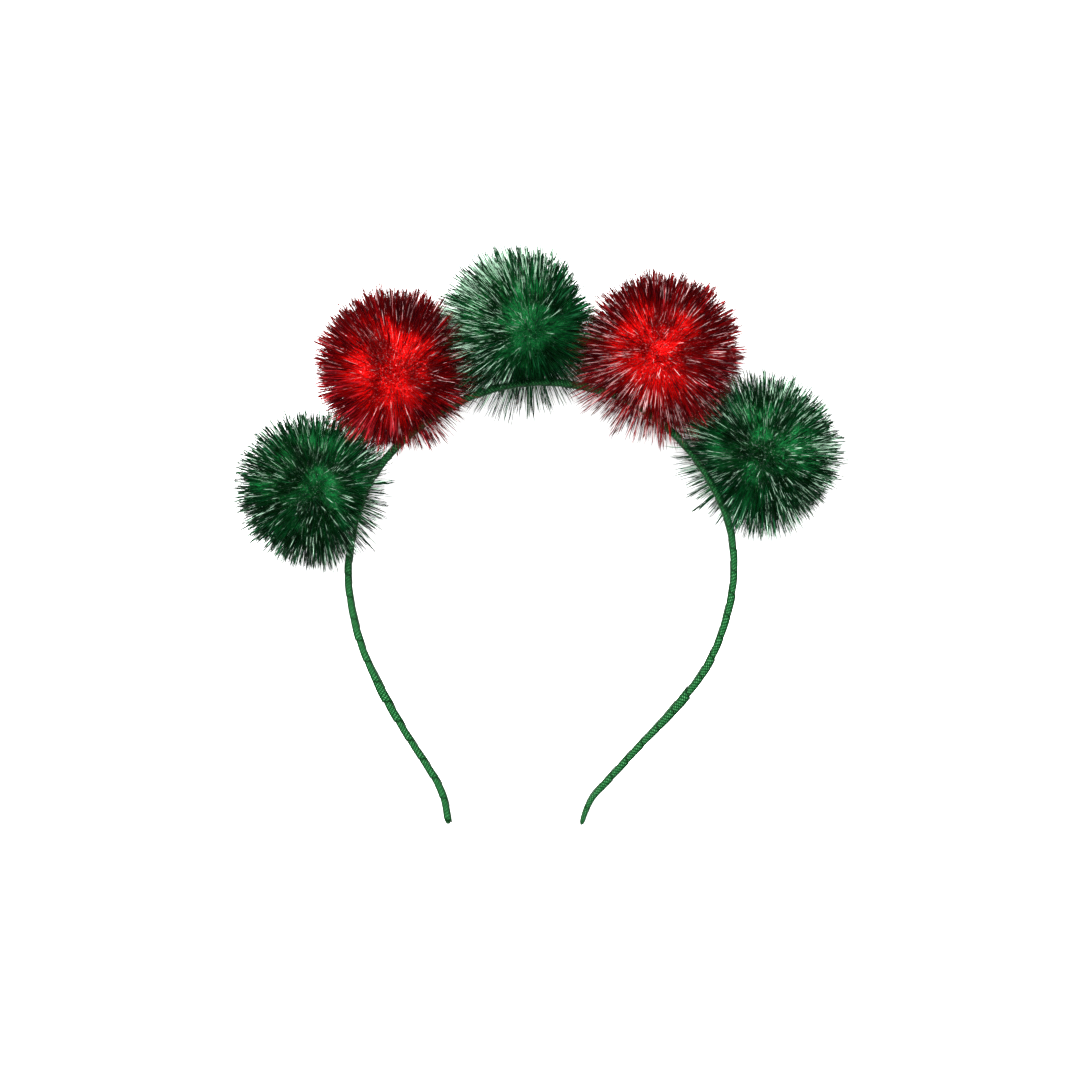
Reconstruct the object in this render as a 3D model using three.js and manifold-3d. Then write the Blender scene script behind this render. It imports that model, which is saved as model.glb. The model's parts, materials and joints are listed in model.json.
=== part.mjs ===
// Pompom headband: a narrow springy strip wound in green ribbon, with five tinsel pompoms over its crown.
// Millimetres. The horseshoe is drawn in its own flat plane: X across, Y up to the crown, Z out of the plane,
// with the origin on the centre line at the crown. It is then laid down as it comes to rest on a table.

import * as THREE from 'three';
import { mergeVertices } from 'three/addons/utils/BufferGeometryUtils.js';
import { ConvexHull } from 'three/addons/math/ConvexHull.js';
import Module from 'manifold-3d';

const wasm = await Module();
wasm.setup();

// The horseshoe, measured on the centre line of the band
const HALF_SPAN = 62.6; // from the middle to the widest point of a limb
const CROWN_HEIGHT = 143.9; // from the tips up to the crown

// The steel strip and the ribbon wound on it
const STRIP_THICKNESS = 1.1; // across the strip, in the plane of the horseshoe
const STRIP_WIDTH = 4.6; // along Z
const RIBBON_BUILD = 0.5; // winding on each side of the strip
const LAP_STEP = 0.2; // how far the overlapping edge of a turn stands up
const LAP_SLANT = 1.3; // how far a seam runs along the band from mid depth to its front edge
const WINDING_PITCH = 7.2; // from one seam to the next
const SEAM_RUN = 0.04; // how much of a turn the step up at each side of a seam takes, as a share of the pitch
const END_RUN = 0.01; // the same for the bare ends of the strip
const EDGE_ROUND = 0.6; // rounding of the wound section
const ROUND_LIMIT = 0.8; // the most of half the section's thickness that the rounding may take
const SECTION_CORNERS = 8; // two for each rounded corner
const BODY_GAP = 0.3; // air left between neighbouring pieces

// The ribbon end folded lengthwise over each tip
const FOLD_LENGTH = 6.4;
const FOLD_NOSE = 1.8; // the closed end of the fold, past the end of the strip
const FOLD_CLOTH = 0.45;
const FOLD_WIDTH = 5;
const LEAF_STEPS = 3; // straight stretches along each leaf of the fold
const NOSE_CORNERS = [
  { within: 0.2, out: 0.7 }, // shares of FOLD_NOSE from the tip, and of the fold's half thickness
  { within: 0, out: 0.35 },
];

// The loose ribbon end at the foot of each outer pompom
const LOOSE_END_LENGTH = 5.2;
const LOOSE_END_WIDTH = 3.2;
const LOOSE_END_CLOTH = 0.8;
const LOOSE_END_BOW = 0.5; // how far it bows away from a straight line
const BOW_STEPS = 4; // straight stretches along it

// The pompoms
const GREEN_REACH = 25.4; // from the middle of a green pompom to the tips of its tufts
const RED_REACH = 26.4;
const HEART_RADIUS = 13; // the tight ball of folded foil that the tufts stand on
const STAND_OFF = 20; // from the centre line of the band to the middle of a pompom
const TUFT_WAIST = 0.5; // how wide a tuft is half way up, as a share of its foot
const TUFT_STRAY = 0.11; // how far a tuft strays from upright, as a share of its reach
const TUFT_SHORTEST = 0.9; // the shortest tuft, as a share of the longest
const NEIGHBOUR_GAP = 0.6; // air left between two pompoms
const CHANNEL_STEP = 4; // how closely the channel for the band follows its bends

// Fineness of the curve's length table, and how close two corners are when they are one
const LENGTH_STEPS = 1500;
const SAME_CORNER = 1e-4;

// Each tuft draws four random numbers, and no pompom has more tufts than this
const TUFT_DRAWS = 4;
const MOST_TUFTS = 1000;

// Grams for each cubic millimetre
const WOUND_STEEL = 0.00785;
const SOFT_TRIM = 0.0003; // tinsel and ribbon

const FINISHES = {
  ribbon: { color: 0x1c7a3c, roughness: 0.45, metalness: 0.15 },
  green: { color: 0x0d6236, roughness: 0.3, metalness: 0.5 },
  red: { color: 0xc8101a, roughness: 0.3, metalness: 0.5 },
};

// Centre line from the left tip over the crown to the right tip.
// across is a share of HALF_SPAN, down is a share of CROWN_HEIGHT below the crown.
const CENTRE_LINE = [
  { across: -0.477, down: 0.998 },
  { across: -0.493, down: 0.953 },
  { across: -0.525, down: 0.912 },
  { across: -0.585, down: 0.868 },
  { across: -0.715, down: 0.78 },
  { across: -0.85, down: 0.674 },
  { across: -0.945, down: 0.572 },
  { across: -0.997, down: 0.445 },
  { across: -0.978, down: 0.352 },
  { across: -0.925, down: 0.257 },
  { across: -0.765, down: 0.154 },
  { across: -0.52, down: 0.068 },
  { across: -0.25, down: 0.016 },
  { across: 0, down: 0 },
  { across: 0.22, down: 0.01 },
  { across: 0.43, down: 0.036 },
  { across: 0.61, down: 0.085 },
  { across: 0.78, down: 0.158 },
  { across: 0.905, down: 0.242 },
  { across: 0.98, down: 0.325 },
  { across: 1.003, down: 0.43 },
  { across: 0.968, down: 0.526 },
  { across: 0.868, down: 0.638 },
  { across: 0.703, down: 0.734 },
  { across: 0.522, down: 0.817 },
  { across: 0.35, down: 0.898 },
  { across: 0.27, down: 0.937 },
  { across: 0.236, down: 0.966 },
  { across: 0.21, down: 1 },
];

// along is a share of the band's length from the left tip, lift a share of STAND_OFF, and lean is the way
// the tufts are swept in the plane of the horseshoe, as a share of their length. A tuft stands between every
// three neighbouring roots, and start turns their spiral. The outer two pompoms, which carry the crown on the
// table, have fewer and stouter tufts.
const POMPOMS = [
  { name: 'left_green', foil: 'green', along: 0.292, lift: 0.83, lean: [-0.04, 0], roots: 60, start: 1.1 },
  { name: 'left_red', foil: 'red', along: 0.387, lift: 1, lean: [0, 0], roots: 98, start: 2.3 },
  { name: 'centre_green', foil: 'green', along: 0.472, lift: 1, lean: [-0.14, 0.1], roots: 98, start: 3.7 },
  { name: 'right_red', foil: 'red', along: 0.568, lift: 0.96, lean: [0.03, 0.02], roots: 98, start: 4.9 },
  { name: 'right_green', foil: 'green', along: 0.663, lift: 1.01, lean: [0.02, 0.03], roots: 60, start: 5.6 },
];

// along is a share of the band's length, heading is 1 where the end points on along the band and -1 where it
// points back, and turn is its angle in degrees away from the limb.
const LOOSE_ENDS = [
  { name: 'ribbon_end_left', along: 0.249, heading: 1, turn: 12 },
  { name: 'ribbon_end_right', along: 0.706, heading: -1, turn: 40 },
];

const Z_AXIS = new THREE.Vector3(0, 0, 1);
const DOWN = new THREE.Vector3(0, 0, -1);

const centreLine = new THREE.CatmullRomCurve3(
  CENTRE_LINE.map((row) => new THREE.Vector3(row.across * HALF_SPAN, -row.down * CROWN_HEIGHT, 0)),
  false,
  'centripetal',
);
centreLine.arcLengthDivisions = LENGTH_STEPS;
const bandLength = centreLine.getLength();

// The direction of the band and the direction away from the wearer's head, at a distance from the left tip.
function directionsAt(distance) {
  const tangent = centreLine.getTangentAt(THREE.MathUtils.clamp(distance / bandLength, 0, 1));
  return { tangent, outward: new THREE.Vector3().crossVectors(Z_AXIS, tangent) };
}

function beside(distance, out, depth) {
  const onBand = THREE.MathUtils.clamp(distance, 0, bandLength);
  const { tangent, outward } = directionsAt(onBand);
  const place = centreLine.getPointAt(onBand / bandLength);
  place.addScaledVector(tangent, distance - onBand);
  return place.addScaledVector(outward, out).addScaledVector(Z_AXIS, depth);
}

function bareCopy(geometry) {
  const bare = geometry.clone();
  bare.deleteAttribute('normal');
  bare.deleteAttribute('uv');
  return mergeVertices(bare, SAME_CORNER);
}

function solidOf(geometry) {
  const bare = bareCopy(geometry);
  const vertProperties = new Float32Array(bare.attributes.position.array);
  const triVerts = new Uint32Array(bare.index.array);
  return new wasm.Manifold(new wasm.Mesh({ numProp: 3, vertProperties, triVerts }));
}

function geometryOf(solid) {
  const mesh = solid.getMesh();
  const geometry = new THREE.BufferGeometry();
  geometry.setAttribute('position', new THREE.BufferAttribute(mesh.vertProperties, 3));
  geometry.setIndex(new THREE.BufferAttribute(mesh.triVerts, 1));
  return geometry;
}

// A unit drum or cone reshaped row by row: place(row, angle, onRim) gives each vertex its place.
function reshaped(geometry, rowCount, place) {
  const bare = bareCopy(geometry);
  const positions = bare.attributes.position;
  const vertex = new THREE.Vector3();
  for (let i = 0; i < positions.count; i += 1) {
    vertex.fromBufferAttribute(positions, i);
    const row = Math.round((vertex.y + 0.5) * (rowCount - 1));
    const onRim = Math.round(Math.hypot(vertex.x, vertex.z));
    const moved = place(row, Math.atan2(vertex.x, vertex.z), onRim);
    positions.setXYZ(i, moved.x, moved.y, moved.z);
  }
  return bare;
}

// A rounded rectangular section swept along the band through rows of { at, build, slant }.
function sweptBand(rows) {
  const drum = new THREE.CylinderGeometry(1, 1, 1, SECTION_CORNERS, rows.length - 1);
  return reshaped(drum, rows.length, (index, angle, onRim) => {
    const row = rows[index];
    const halfThickness = STRIP_THICKNESS / 2 + row.build;
    const halfWidth = STRIP_WIDTH / 2 + row.build;
    const round = Math.min(EDGE_ROUND, ROUND_LIMIT * halfThickness);
    const turned = angle + Math.PI / SECTION_CORNERS;
    const out = Math.sign(Math.cos(turned)) * (halfThickness - round) + round * Math.cos(turned);
    const depth = Math.sign(Math.sin(turned)) * (halfWidth - round) + round * Math.sin(turned);
    const shift = (row.slant * depth) / halfWidth;
    return beside(row.at + onRim * shift, onRim * out, onRim * depth);
  });
}

// Each turn of ribbon starts proud of the last and settles down to the next seam.
function windingRows() {
  const bareEnd = FOLD_NOSE + BODY_GAP;
  const woundEnd = FOLD_LENGTH + BODY_GAP;
  const wound = bandLength - 2 * woundEnd;
  const turns = Math.max(2, Math.round(wound / WINDING_PITCH));
  const pitch = wound / turns;
  const rows = [
    { at: bareEnd, build: 0, slant: 0 },
    { at: woundEnd - END_RUN * pitch, build: 0, slant: 0 },
  ];
  for (let turn = 0; turn < turns; turn += 1) {
    const start = woundEnd + turn * pitch;
    const end = start + pitch;
    const firstSlant = turn > 0 ? LAP_SLANT : 0;
    const lastSlant = turn < turns - 1 ? LAP_SLANT : 0;
    rows.push({ at: start + SEAM_RUN * pitch, build: RIBBON_BUILD + LAP_STEP, slant: firstSlant });
    rows.push({ at: end - SEAM_RUN * pitch, build: RIBBON_BUILD, slant: lastSlant });
  }
  rows.push({ at: bandLength - woundEnd + END_RUN * pitch, build: 0, slant: 0 });
  rows.push({ at: bandLength - bareEnd, build: 0, slant: 0 });
  return rows;
}

// The shares 0 to 1 in even steps.
function sharesOf(steps) {
  return Array.from({ length: steps + 1 }, (_, step) => step / steps);
}

// The ribbon folded lengthwise over a tip: two leaves beside the strip, closed at the nose.
function tipFold(side) {
  const clear = STRIP_THICKNESS / 2 + BODY_GAP;
  const leaf = clear + FOLD_CLOTH;
  const leafSteps = sharesOf(LEAF_STEPS).map((share) => THREE.MathUtils.lerp(FOLD_LENGTH, FOLD_NOSE, share));
  const outside = leafSteps.map((within) => ({ within, out: leaf }));
  outside.push(...NOSE_CORNERS.map(({ within, out }) => ({ within: within * FOLD_NOSE, out: out * leaf })));
  const mirrored = outside.map(({ within, out }) => ({ within, out: -out })).reverse();
  const inside = leafSteps.map((within) => ({ within, out: -clear }));
  const insideBack = inside.map(({ within, out }) => ({ within, out: -out })).reverse();
  const end = side < 0 ? 0 : bandLength;
  const corners = [...outside, ...mirrored, ...inside, ...insideBack].map((corner) => {
    const place = beside(end - side * corner.within, corner.out, 0);
    return new THREE.Vector2(place.x, place.y);
  });
  const options = { depth: FOLD_WIDTH, bevelEnabled: false };
  return new THREE.ExtrudeGeometry(new THREE.Shape(corners), options).translate(0, 0, -FOLD_WIDTH / 2);
}

// A short end of ribbon that leaves the band's outer face and bows up into the pompom; grow adds clearance.
function looseEnd(row, grow) {
  const foot = STRIP_THICKNESS / 2 + RIBBON_BUILD + LAP_STEP + BODY_GAP + LOOSE_END_CLOTH / 2;
  const start = beside(row.along * bandLength, foot, 0);
  const { tangent, outward } = directionsAt(row.along * bandLength);
  const turn = THREE.MathUtils.degToRad(row.turn);
  const ahead = tangent.clone().multiplyScalar(row.heading * Math.cos(turn));
  ahead.addScaledVector(outward, Math.sin(turn));
  const across = new THREE.Vector3().crossVectors(Z_AXIS, ahead).multiplyScalar(row.heading);
  const half = LOOSE_END_CLOTH / 2 + grow;
  const at = (share, off) => {
    const bow = 4 * LOOSE_END_BOW * share * (1 - share);
    const ends = share === 0 ? -grow : share === 1 ? grow : 0;
    const place = start.clone().addScaledVector(ahead, share * LOOSE_END_LENGTH + ends);
    place.addScaledVector(across, bow + off);
    return new THREE.Vector2(place.x, place.y);
  };
  const steps = sharesOf(BOW_STEPS);
  const upperEdge = steps.map((share) => at(share, half));
  const lowerEdge = steps.map((share) => at(share, -half)).reverse();
  const outline = new THREE.Shape([...upperEdge, ...lowerEdge]);
  const width = LOOSE_END_WIDTH + 2 * grow;
  return new THREE.ExtrudeGeometry(outline, { depth: width, bevelEnabled: false }).translate(0, 0, -width / 2);
}

// A random number from 0 to 1 for one draw of one tuft, the same each time.
function scatter(row, tuft, draw) {
  const place = POMPOMS.indexOf(row) * MOST_TUFTS + tuft;
  return THREE.MathUtils.seededRandom(place * TUFT_DRAWS + draw);
}

const reachOf = { green: GREEN_REACH, red: RED_REACH };
const centreOf = (row) => beside(row.along * bandLength, row.lift * STAND_OFF, 0);

// How far pompom may reach towards each other pompom: up to a plane shared out by their two reaches.
function sharedPlanes(row) {
  return POMPOMS.filter((other) => other !== row).map((other) => {
    const towards = centreOf(other).sub(centreOf(row));
    const apart = towards.length();
    const share = (apart ** 2 + reachOf[row.foil] ** 2 - reachOf[other.foil] ** 2) / (2 * apart);
    return { towards: towards.normalize(), distance: share - NEIGHBOUR_GAP / 2 };
  });
}

function tuftReach(row, direction, planes, index) {
  let reach = reachOf[row.foil] * THREE.MathUtils.lerp(TUFT_SHORTEST, 1, scatter(row, index, 0));
  for (const plane of planes) {
    const facing = direction.dot(plane.towards);
    if (facing > 0) reach = Math.min(reach, plane.distance / facing);
  }
  const inward = directionsAt(row.along * bandLength).outward.negate();
  const towardsHead = direction.dot(inward);
  if (towardsHead > 0 && direction.z > 0) {
    reach = Math.min(reach, (row.lift * STAND_OFF - STRIP_THICKNESS) / towardsHead);
  }
  return reach;
}

// The space that the band, the loose ends and the other pompoms need, about the middle of this pompom.
function spaceTaken(row, planes) {
  const far = 2 * reachOf[row.foil];
  const centre = centreOf(row);
  const build = RIBBON_BUILD + LAP_STEP + BODY_GAP;
  const rows = [];
  for (let ahead = -far; ahead <= far; ahead += CHANNEL_STEP) {
    rows.push({ at: row.along * bandLength + ahead, build, slant: 0 });
  }
  const blocks = planes.map((plane) => {
    const turned = new THREE.Quaternion().setFromUnitVectors(Z_AXIS, plane.towards);
    const block = new THREE.BoxGeometry(2 * far, 2 * far, far);
    return block.translate(0, 0, far / 2 + plane.distance).applyQuaternion(turned);
  });
  const local = [sweptBand(rows), ...LOOSE_ENDS.map((end) => looseEnd(end, BODY_GAP))];
  local.forEach((geometry) => geometry.translate(-centre.x, -centre.y, -centre.z));
  return [...local, ...blocks];
}

// The largest closed shell, without the tips that the channel for the band cut off.
function outerShell(solid) {
  const shells = solidOf(geometryOf(solid)).decompose();
  return shells.reduce((largest, shell) => (shell.volume() > largest.volume() ? shell : largest));
}

// Roots spread evenly over the heart, along a spiral from front to back.
function rootDirections(row) {
  const goldenAngle = Math.PI * (3 - Math.sqrt(5));
  return Array.from({ length: row.roots }, (_, index) => {
    const height = 1 - (2 * index + 1) / row.roots;
    const around = index * goldenAngle + row.start;
    const flat = Math.sqrt(1 - height ** 2);
    return new THREE.Vector3(flat * Math.cos(around), flat * Math.sin(around), height);
  });
}

// The triangular tuft between three roots: a waist half way up, then a point that strays a little.
function tuftFaces(row, roots, planes, index) {
  const feet = roots.map((root) => root.clone().multiplyScalar(HEART_RADIUS));
  const foot = new THREE.Vector3().add(feet[0]).add(feet[1]).add(feet[2]).divideScalar(3);
  const upright = foot.clone().normalize();
  const stray = [1, 2, 3].map((draw) => TUFT_STRAY * (2 * scatter(row, index, draw) - 1));
  const lean = new THREE.Vector3(row.lean[0], row.lean[1], 0);
  const direction = new THREE.Vector3(...stray).add(lean).add(upright).normalize();
  const tip = direction.clone().multiplyScalar(tuftReach(row, direction, planes, index));
  const waist = upright.multiplyScalar(tip.length()).lerp(tip, 0.5).add(foot).divideScalar(2);
  const ring = feet.map((corner) => corner.clone().sub(foot).multiplyScalar(TUFT_WAIST).add(waist));
  return [0, 1, 2].flatMap((side) => {
    const next = (side + 1) % 3;
    return [feet[side], feet[next], ring[next], feet[side], ring[next], ring[side], ring[side], ring[next], tip];
  });
}

function pompom(row) {
  const planes = sharedPlanes(row);
  const faces = new ConvexHull().setFromPoints(rootDirections(row)).faces;
  const points = faces.flatMap((face, index) => {
    const roots = [face.edge.prev, face.edge, face.edge.next].map((edge) => edge.head().point);
    return tuftFaces(row, roots, planes, index);
  });
  let body = solidOf(new THREE.BufferGeometry().setFromPoints(points));
  for (const geometry of spaceTaken(row, planes)) body = body.subtract(solidOf(geometry));
  return geometryOf(outerShell(body));
}

function named(name, finish, geometry) {
  const mesh = new THREE.Mesh(geometry, new THREE.MeshStandardMaterial(FINISHES[finish]));
  mesh.name = name;
  return mesh;
}

const horseshoe = new THREE.Group();
horseshoe.add(named('headband', 'ribbon', sweptBand(windingRows())));
horseshoe.add(named('tip_fold_left', 'ribbon', tipFold(-1)));
horseshoe.add(named('tip_fold_right', 'ribbon', tipFold(1)));
for (const row of LOOSE_ENDS) horseshoe.add(named(row.name, 'ribbon', looseEnd(row, 0)));
for (const row of POMPOMS) {
  const mesh = named(`pompom_${row.name}`, row.foil, pompom(row));
  mesh.position.copy(centreOf(row));
  horseshoe.add(mesh);
}

// Grams and the place of the centre of mass, from the tetrahedra under each face.
function massOf(mesh) {
  const density = mesh.name === 'headband' ? WOUND_STEEL : SOFT_TRIM;
  const faces = mesh.geometry.index ? mesh.geometry.toNonIndexed() : mesh.geometry;
  const positions = faces.attributes.position;
  const total = { grams: 0, moment: new THREE.Vector3() };
  for (let i = 0; i < positions.count; i += 3) {
    const [a, b, c] = [0, 1, 2].map((n) => new THREE.Vector3().fromBufferAttribute(positions, i + n));
    [a, b, c].forEach((corner) => corner.add(mesh.position));
    const grams = (density * a.dot(b.clone().cross(c))) / 6;
    total.grams += grams;
    total.moment.addScaledVector(a.add(b).add(c), grams / 4);
  }
  return total;
}

// It comes to rest on the side of its hull that brings the centre of mass lowest, with Z still upwards.
function restingTurn() {
  const points = [];
  const total = { grams: 0, moment: new THREE.Vector3() };
  for (const mesh of horseshoe.children) {
    const positions = mesh.geometry.attributes.position;
    for (let i = 0; i < positions.count; i += 1) {
      points.push(new THREE.Vector3().fromBufferAttribute(positions, i).add(mesh.position));
    }
    const part = massOf(mesh);
    total.grams += part.grams;
    total.moment.add(part.moment);
  }
  const centreOfMass = total.moment.divideScalar(total.grams);
  const undersides = new ConvexHull().setFromPoints(points).faces.filter((face) => face.normal.z < 0);
  const heightOver = (face) => -face.distanceToPoint(centreOfMass);
  const lowest = undersides.reduce((best, face) => (heightOver(face) < heightOver(best) ? face : best));
  return new THREE.Quaternion().setFromUnitVectors(lowest.normal, DOWN);
}

horseshoe.quaternion.copy(restingTurn());
horseshoe.updateMatrixWorld(true);
const box = new THREE.Box3().setFromObject(horseshoe, true);
const middle = box.getCenter(new THREE.Vector3());
const group = new THREE.Group();
group.add(horseshoe);
group.position.set(-middle.x, -middle.y, -box.min.z);

export default group;
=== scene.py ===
# %% [markdown]
# # A headband with five tinsel pompoms
# A springy strip of steel is wound all along with narrow green satin ribbon, and five pompoms of foil
# tinsel are glued over its crown: green, red, green, red, green.
# The solid model gives every size and place. This script dresses it: it winds the ribbon turn by turn, grows
# the foil strands with Geometry Nodes, gives each surface its finish, and sets the light and the camera.
# Everything is in metres, in the frame of the solid model.

# %% Load the solid model
import json
import math

import bmesh
import bpy
import numpy as np
from mathutils import Matrix, Vector, noise

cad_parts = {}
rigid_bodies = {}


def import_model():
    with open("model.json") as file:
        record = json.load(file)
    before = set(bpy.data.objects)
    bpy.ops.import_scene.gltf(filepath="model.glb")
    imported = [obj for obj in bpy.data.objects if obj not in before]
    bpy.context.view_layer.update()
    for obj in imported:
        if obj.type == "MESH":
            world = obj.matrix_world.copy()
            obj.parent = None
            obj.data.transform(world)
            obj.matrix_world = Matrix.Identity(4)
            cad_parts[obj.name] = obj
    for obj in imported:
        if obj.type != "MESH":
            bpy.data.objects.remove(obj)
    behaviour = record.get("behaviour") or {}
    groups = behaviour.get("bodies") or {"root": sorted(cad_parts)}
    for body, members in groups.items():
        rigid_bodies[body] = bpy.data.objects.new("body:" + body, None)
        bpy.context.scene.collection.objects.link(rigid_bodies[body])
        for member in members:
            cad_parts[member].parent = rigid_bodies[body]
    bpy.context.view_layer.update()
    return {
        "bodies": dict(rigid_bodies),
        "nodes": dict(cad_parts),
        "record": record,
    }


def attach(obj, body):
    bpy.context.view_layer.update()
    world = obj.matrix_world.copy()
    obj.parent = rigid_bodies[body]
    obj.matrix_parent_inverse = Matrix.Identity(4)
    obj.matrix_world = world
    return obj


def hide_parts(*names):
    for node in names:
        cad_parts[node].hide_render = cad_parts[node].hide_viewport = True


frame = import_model()
MM = 0.001
print("nodes:", sorted(frame["nodes"]))

# %% [markdown]
# ## The plane of the horseshoe
# The band is one flat horseshoe, but it doesn't lie flat: the pompoms prop its crown up, so it leans back
# on its two tips. It is easiest to draw it in its own plane, X across, Y up to the crown and Z towards the
# viewer, and to carry the finished meshes into place with one matrix.
# Three mounts of the record lie on the middle of that plane, one on the crown and one on each limb, so they
# give the plane's normal, and the crown one gives its place.

# %% Find the plane from the mounts
CROWN_MARK = Vector((3.5, -1.265, 0)) * MM  # the crown mount, in the plane's own coordinates

mounts = {mount["name"]: Vector(mount["pos_m"]) for mount in frame["record"]["mounts"]}
crown_mark = mounts["crown_inner_face"]
to_left, to_right = (mounts[side + "_limb_inner_face"] - crown_mark for side in ("left", "right"))
plane_normal = to_left.cross(to_right)
plane_normal.normalize()
plane_turn = Vector((0, 0, 1)).rotation_difference(plane_normal).to_matrix().to_4x4()
plane_place = Matrix.Translation(crown_mark - plane_turn @ CROWN_MARK) @ plane_turn
print("the plane leans back by", round(math.degrees(plane_normal.angle(Vector((0, 0, 1)))), 2), "degrees")

# %% [markdown]
# ## The centre line of the band
# A round crown, limbs that draw in and tips that kink outwards: a few chosen points, as shares of the half
# span and of the crown's height, joined by a smooth curve.
# The solid model uses a centripetal Catmull-Rom curve. It goes through each point without overshooting, so
# the same formula here puts the ribbon exactly where the solid strip is.

# %% Chosen points of the centre line, from the left tip over the crown to the right tip
HALF_SPAN = 62.6 * MM
CROWN_HEIGHT = 143.9 * MM
CENTRE_LINE = [  # (across, down)
    (-0.477, 0.998), (-0.493, 0.953), (-0.525, 0.912), (-0.585, 0.868), (-0.715, 0.78),
    (-0.85, 0.674), (-0.945, 0.572), (-0.997, 0.445), (-0.978, 0.352), (-0.925, 0.257),
    (-0.765, 0.154), (-0.52, 0.068), (-0.25, 0.016), (0, 0), (0.22, 0.01),
    (0.43, 0.036), (0.61, 0.085), (0.78, 0.158), (0.905, 0.242), (0.98, 0.325),
    (1.003, 0.43), (0.968, 0.526), (0.868, 0.638), (0.703, 0.734), (0.522, 0.817),
    (0.35, 0.898), (0.27, 0.937), (0.236, 0.966), (0.21, 1),
]


def centripetal_stretch(before, start, end, after, share):
    """Points between start and end of a centripetal Catmull-Rom curve, at each share from 0 to 1."""
    gaps = [math.sqrt(np.linalg.norm(b - a)) for a, b in ((before, start), (start, end), (end, after))]
    leave = (start - before) / gaps[0] - (end - before) / (gaps[0] + gaps[1]) + (end - start) / gaps[1]
    arrive = (end - start) / gaps[1] - (after - start) / (gaps[1] + gaps[2]) + (after - end) / gaps[2]
    leave, arrive = leave * gaps[1], arrive * gaps[1]
    t = share[:, None]
    return (
        start + leave * t + (3 * (end - start) - 2 * leave - arrive) * t**2
        + (2 * (start - end) + leave + arrive) * t**3
    )


def trace_centre_line(steps=40):
    chosen = np.array([(across * HALF_SPAN, -down * CROWN_HEIGHT) for across, down in CENTRE_LINE])
    reached = np.vstack([2 * chosen[0] - chosen[1], chosen, 2 * chosen[-1] - chosen[-2]])
    share = np.arange(steps) / steps
    stretches = [centripetal_stretch(*reached[i : i + 4], share) for i in range(len(chosen) - 1)]
    return np.vstack([*stretches, chosen[-1:]])


line_points = trace_centre_line()
line_distance = np.concatenate([[0], np.cumsum(np.linalg.norm(np.diff(line_points, axis=0), axis=1))])
band_length = float(line_distance[-1])
print("length of the band in mm:", round(band_length / MM, 1))

# %% Places on the centre line and beside it
TANGENT_STEP = 0.1 * MM  # between the two places that give a tangent


def place_on_line(distance):
    return np.array([np.interp(distance, line_distance, line_points[:, i]) for i in (0, 1)])


def on_line(distance):
    """The place on the centre line, its direction, and the direction away from the head."""
    held = min(max(distance, 0), band_length)
    ahead = min(held + TANGENT_STEP, band_length)
    onward = place_on_line(ahead) - place_on_line(ahead - TANGENT_STEP)
    tangent = onward / np.linalg.norm(onward)
    return place_on_line(held) + tangent * (distance - held), tangent, np.array([-tangent[1], tangent[0]])


def beside_line(distance, out, depth):
    place, _, outward = on_line(distance)
    return Vector((*(place + out * outward), depth))


# %% [markdown]
# ## Small helpers for meshes and node trees
# Most pieces start as rows of points, and every tree needs nodes that are set and linked. A few short helpers
# keep the rest of the lesson readable.

# %% Helpers for meshes
WELD = 0.001 * MM  # points closer than this become one


def in_scene(name, data):
    """A new object with this mesh, curve, lamp or camera, linked into the scene."""
    piece = bpy.data.objects.new(name, data)
    bpy.context.scene.collection.objects.link(piece)
    return piece


def piece_from(name, points, faces, material, uv=None):
    """A mesh object from points and faces in the plane's coordinates, carried into place."""
    mesh = bpy.data.meshes.new(name)
    mesh.from_pydata([tuple(p) for p in points], [], [tuple(f) for f in faces])
    mesh.transform(plane_place)
    if uv is not None:
        layer = mesh.uv_layers.new(name="cloth")
        for loop in mesh.loops:
            layer.data[loop.index].uv = uv[loop.vertex_index]
    mesh.materials.append(material)
    return in_scene(name, mesh)


def tube_faces(rings, corners, capped=True):
    """The faces of a tube whose points are rings of so many corners."""
    faces = []
    for ring in range(rings - 1):
        for c in range(corners):
            here, following = ring * corners + c, ring * corners + (c + 1) % corners
            faces.append([here, following, following + corners, here + corners])
    if capped:
        faces += [list(range(corners)), [(rings - 1) * corners + c for c in range(corners)]]
    return faces


def facing_out(piece):
    """Turns every face outwards, for a closed skin whose rows may run either way."""
    work = bmesh.new()
    work.from_mesh(piece.data)
    bmesh.ops.remove_doubles(work, verts=work.verts, dist=WELD)
    bmesh.ops.recalc_face_normals(work, faces=work.faces)
    work.to_mesh(piece.data)
    work.free()
    return piece


def triangle_count(piece):
    return sum(len(face.vertices) - 2 for face in piece.data.polygons)


# %% Helpers for node trees


def socket_named(sockets, name):
    return next(s for s in sockets if s.name == name and s.enabled and not s.is_unavailable)


def add_node(tree, kind, inputs=None, **settings):
    """A new node with its settings, and its inputs set to a value or linked to another node's output."""
    made = tree.nodes.new(kind)
    for name, value in settings.items():
        setattr(made, name, value)
    for name, value in (inputs or {}).items():
        socket = made.inputs[name] if isinstance(name, int) else socket_named(made.inputs, name)
        if isinstance(value, bpy.types.NodeSocket):
            tree.links.new(value, socket)
        else:
            socket.default_value = value
    return made


def maths(tree, operation, *values):
    return add_node(tree, "ShaderNodeMath", dict(enumerate(values)), operation=operation).outputs[0]


def vector_maths(tree, operation, *values):
    made = add_node(tree, "ShaderNodeVectorMath", dict(enumerate(values)), operation=operation)
    return made.outputs["Value" if operation in ("DOT_PRODUCT", "LENGTH") else "Vector"]


def scaled(tree, vector, factor):
    made = add_node(tree, "ShaderNodeVectorMath", {0: vector, "Scale": factor}, operation="SCALE")
    return made.outputs["Vector"]


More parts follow.
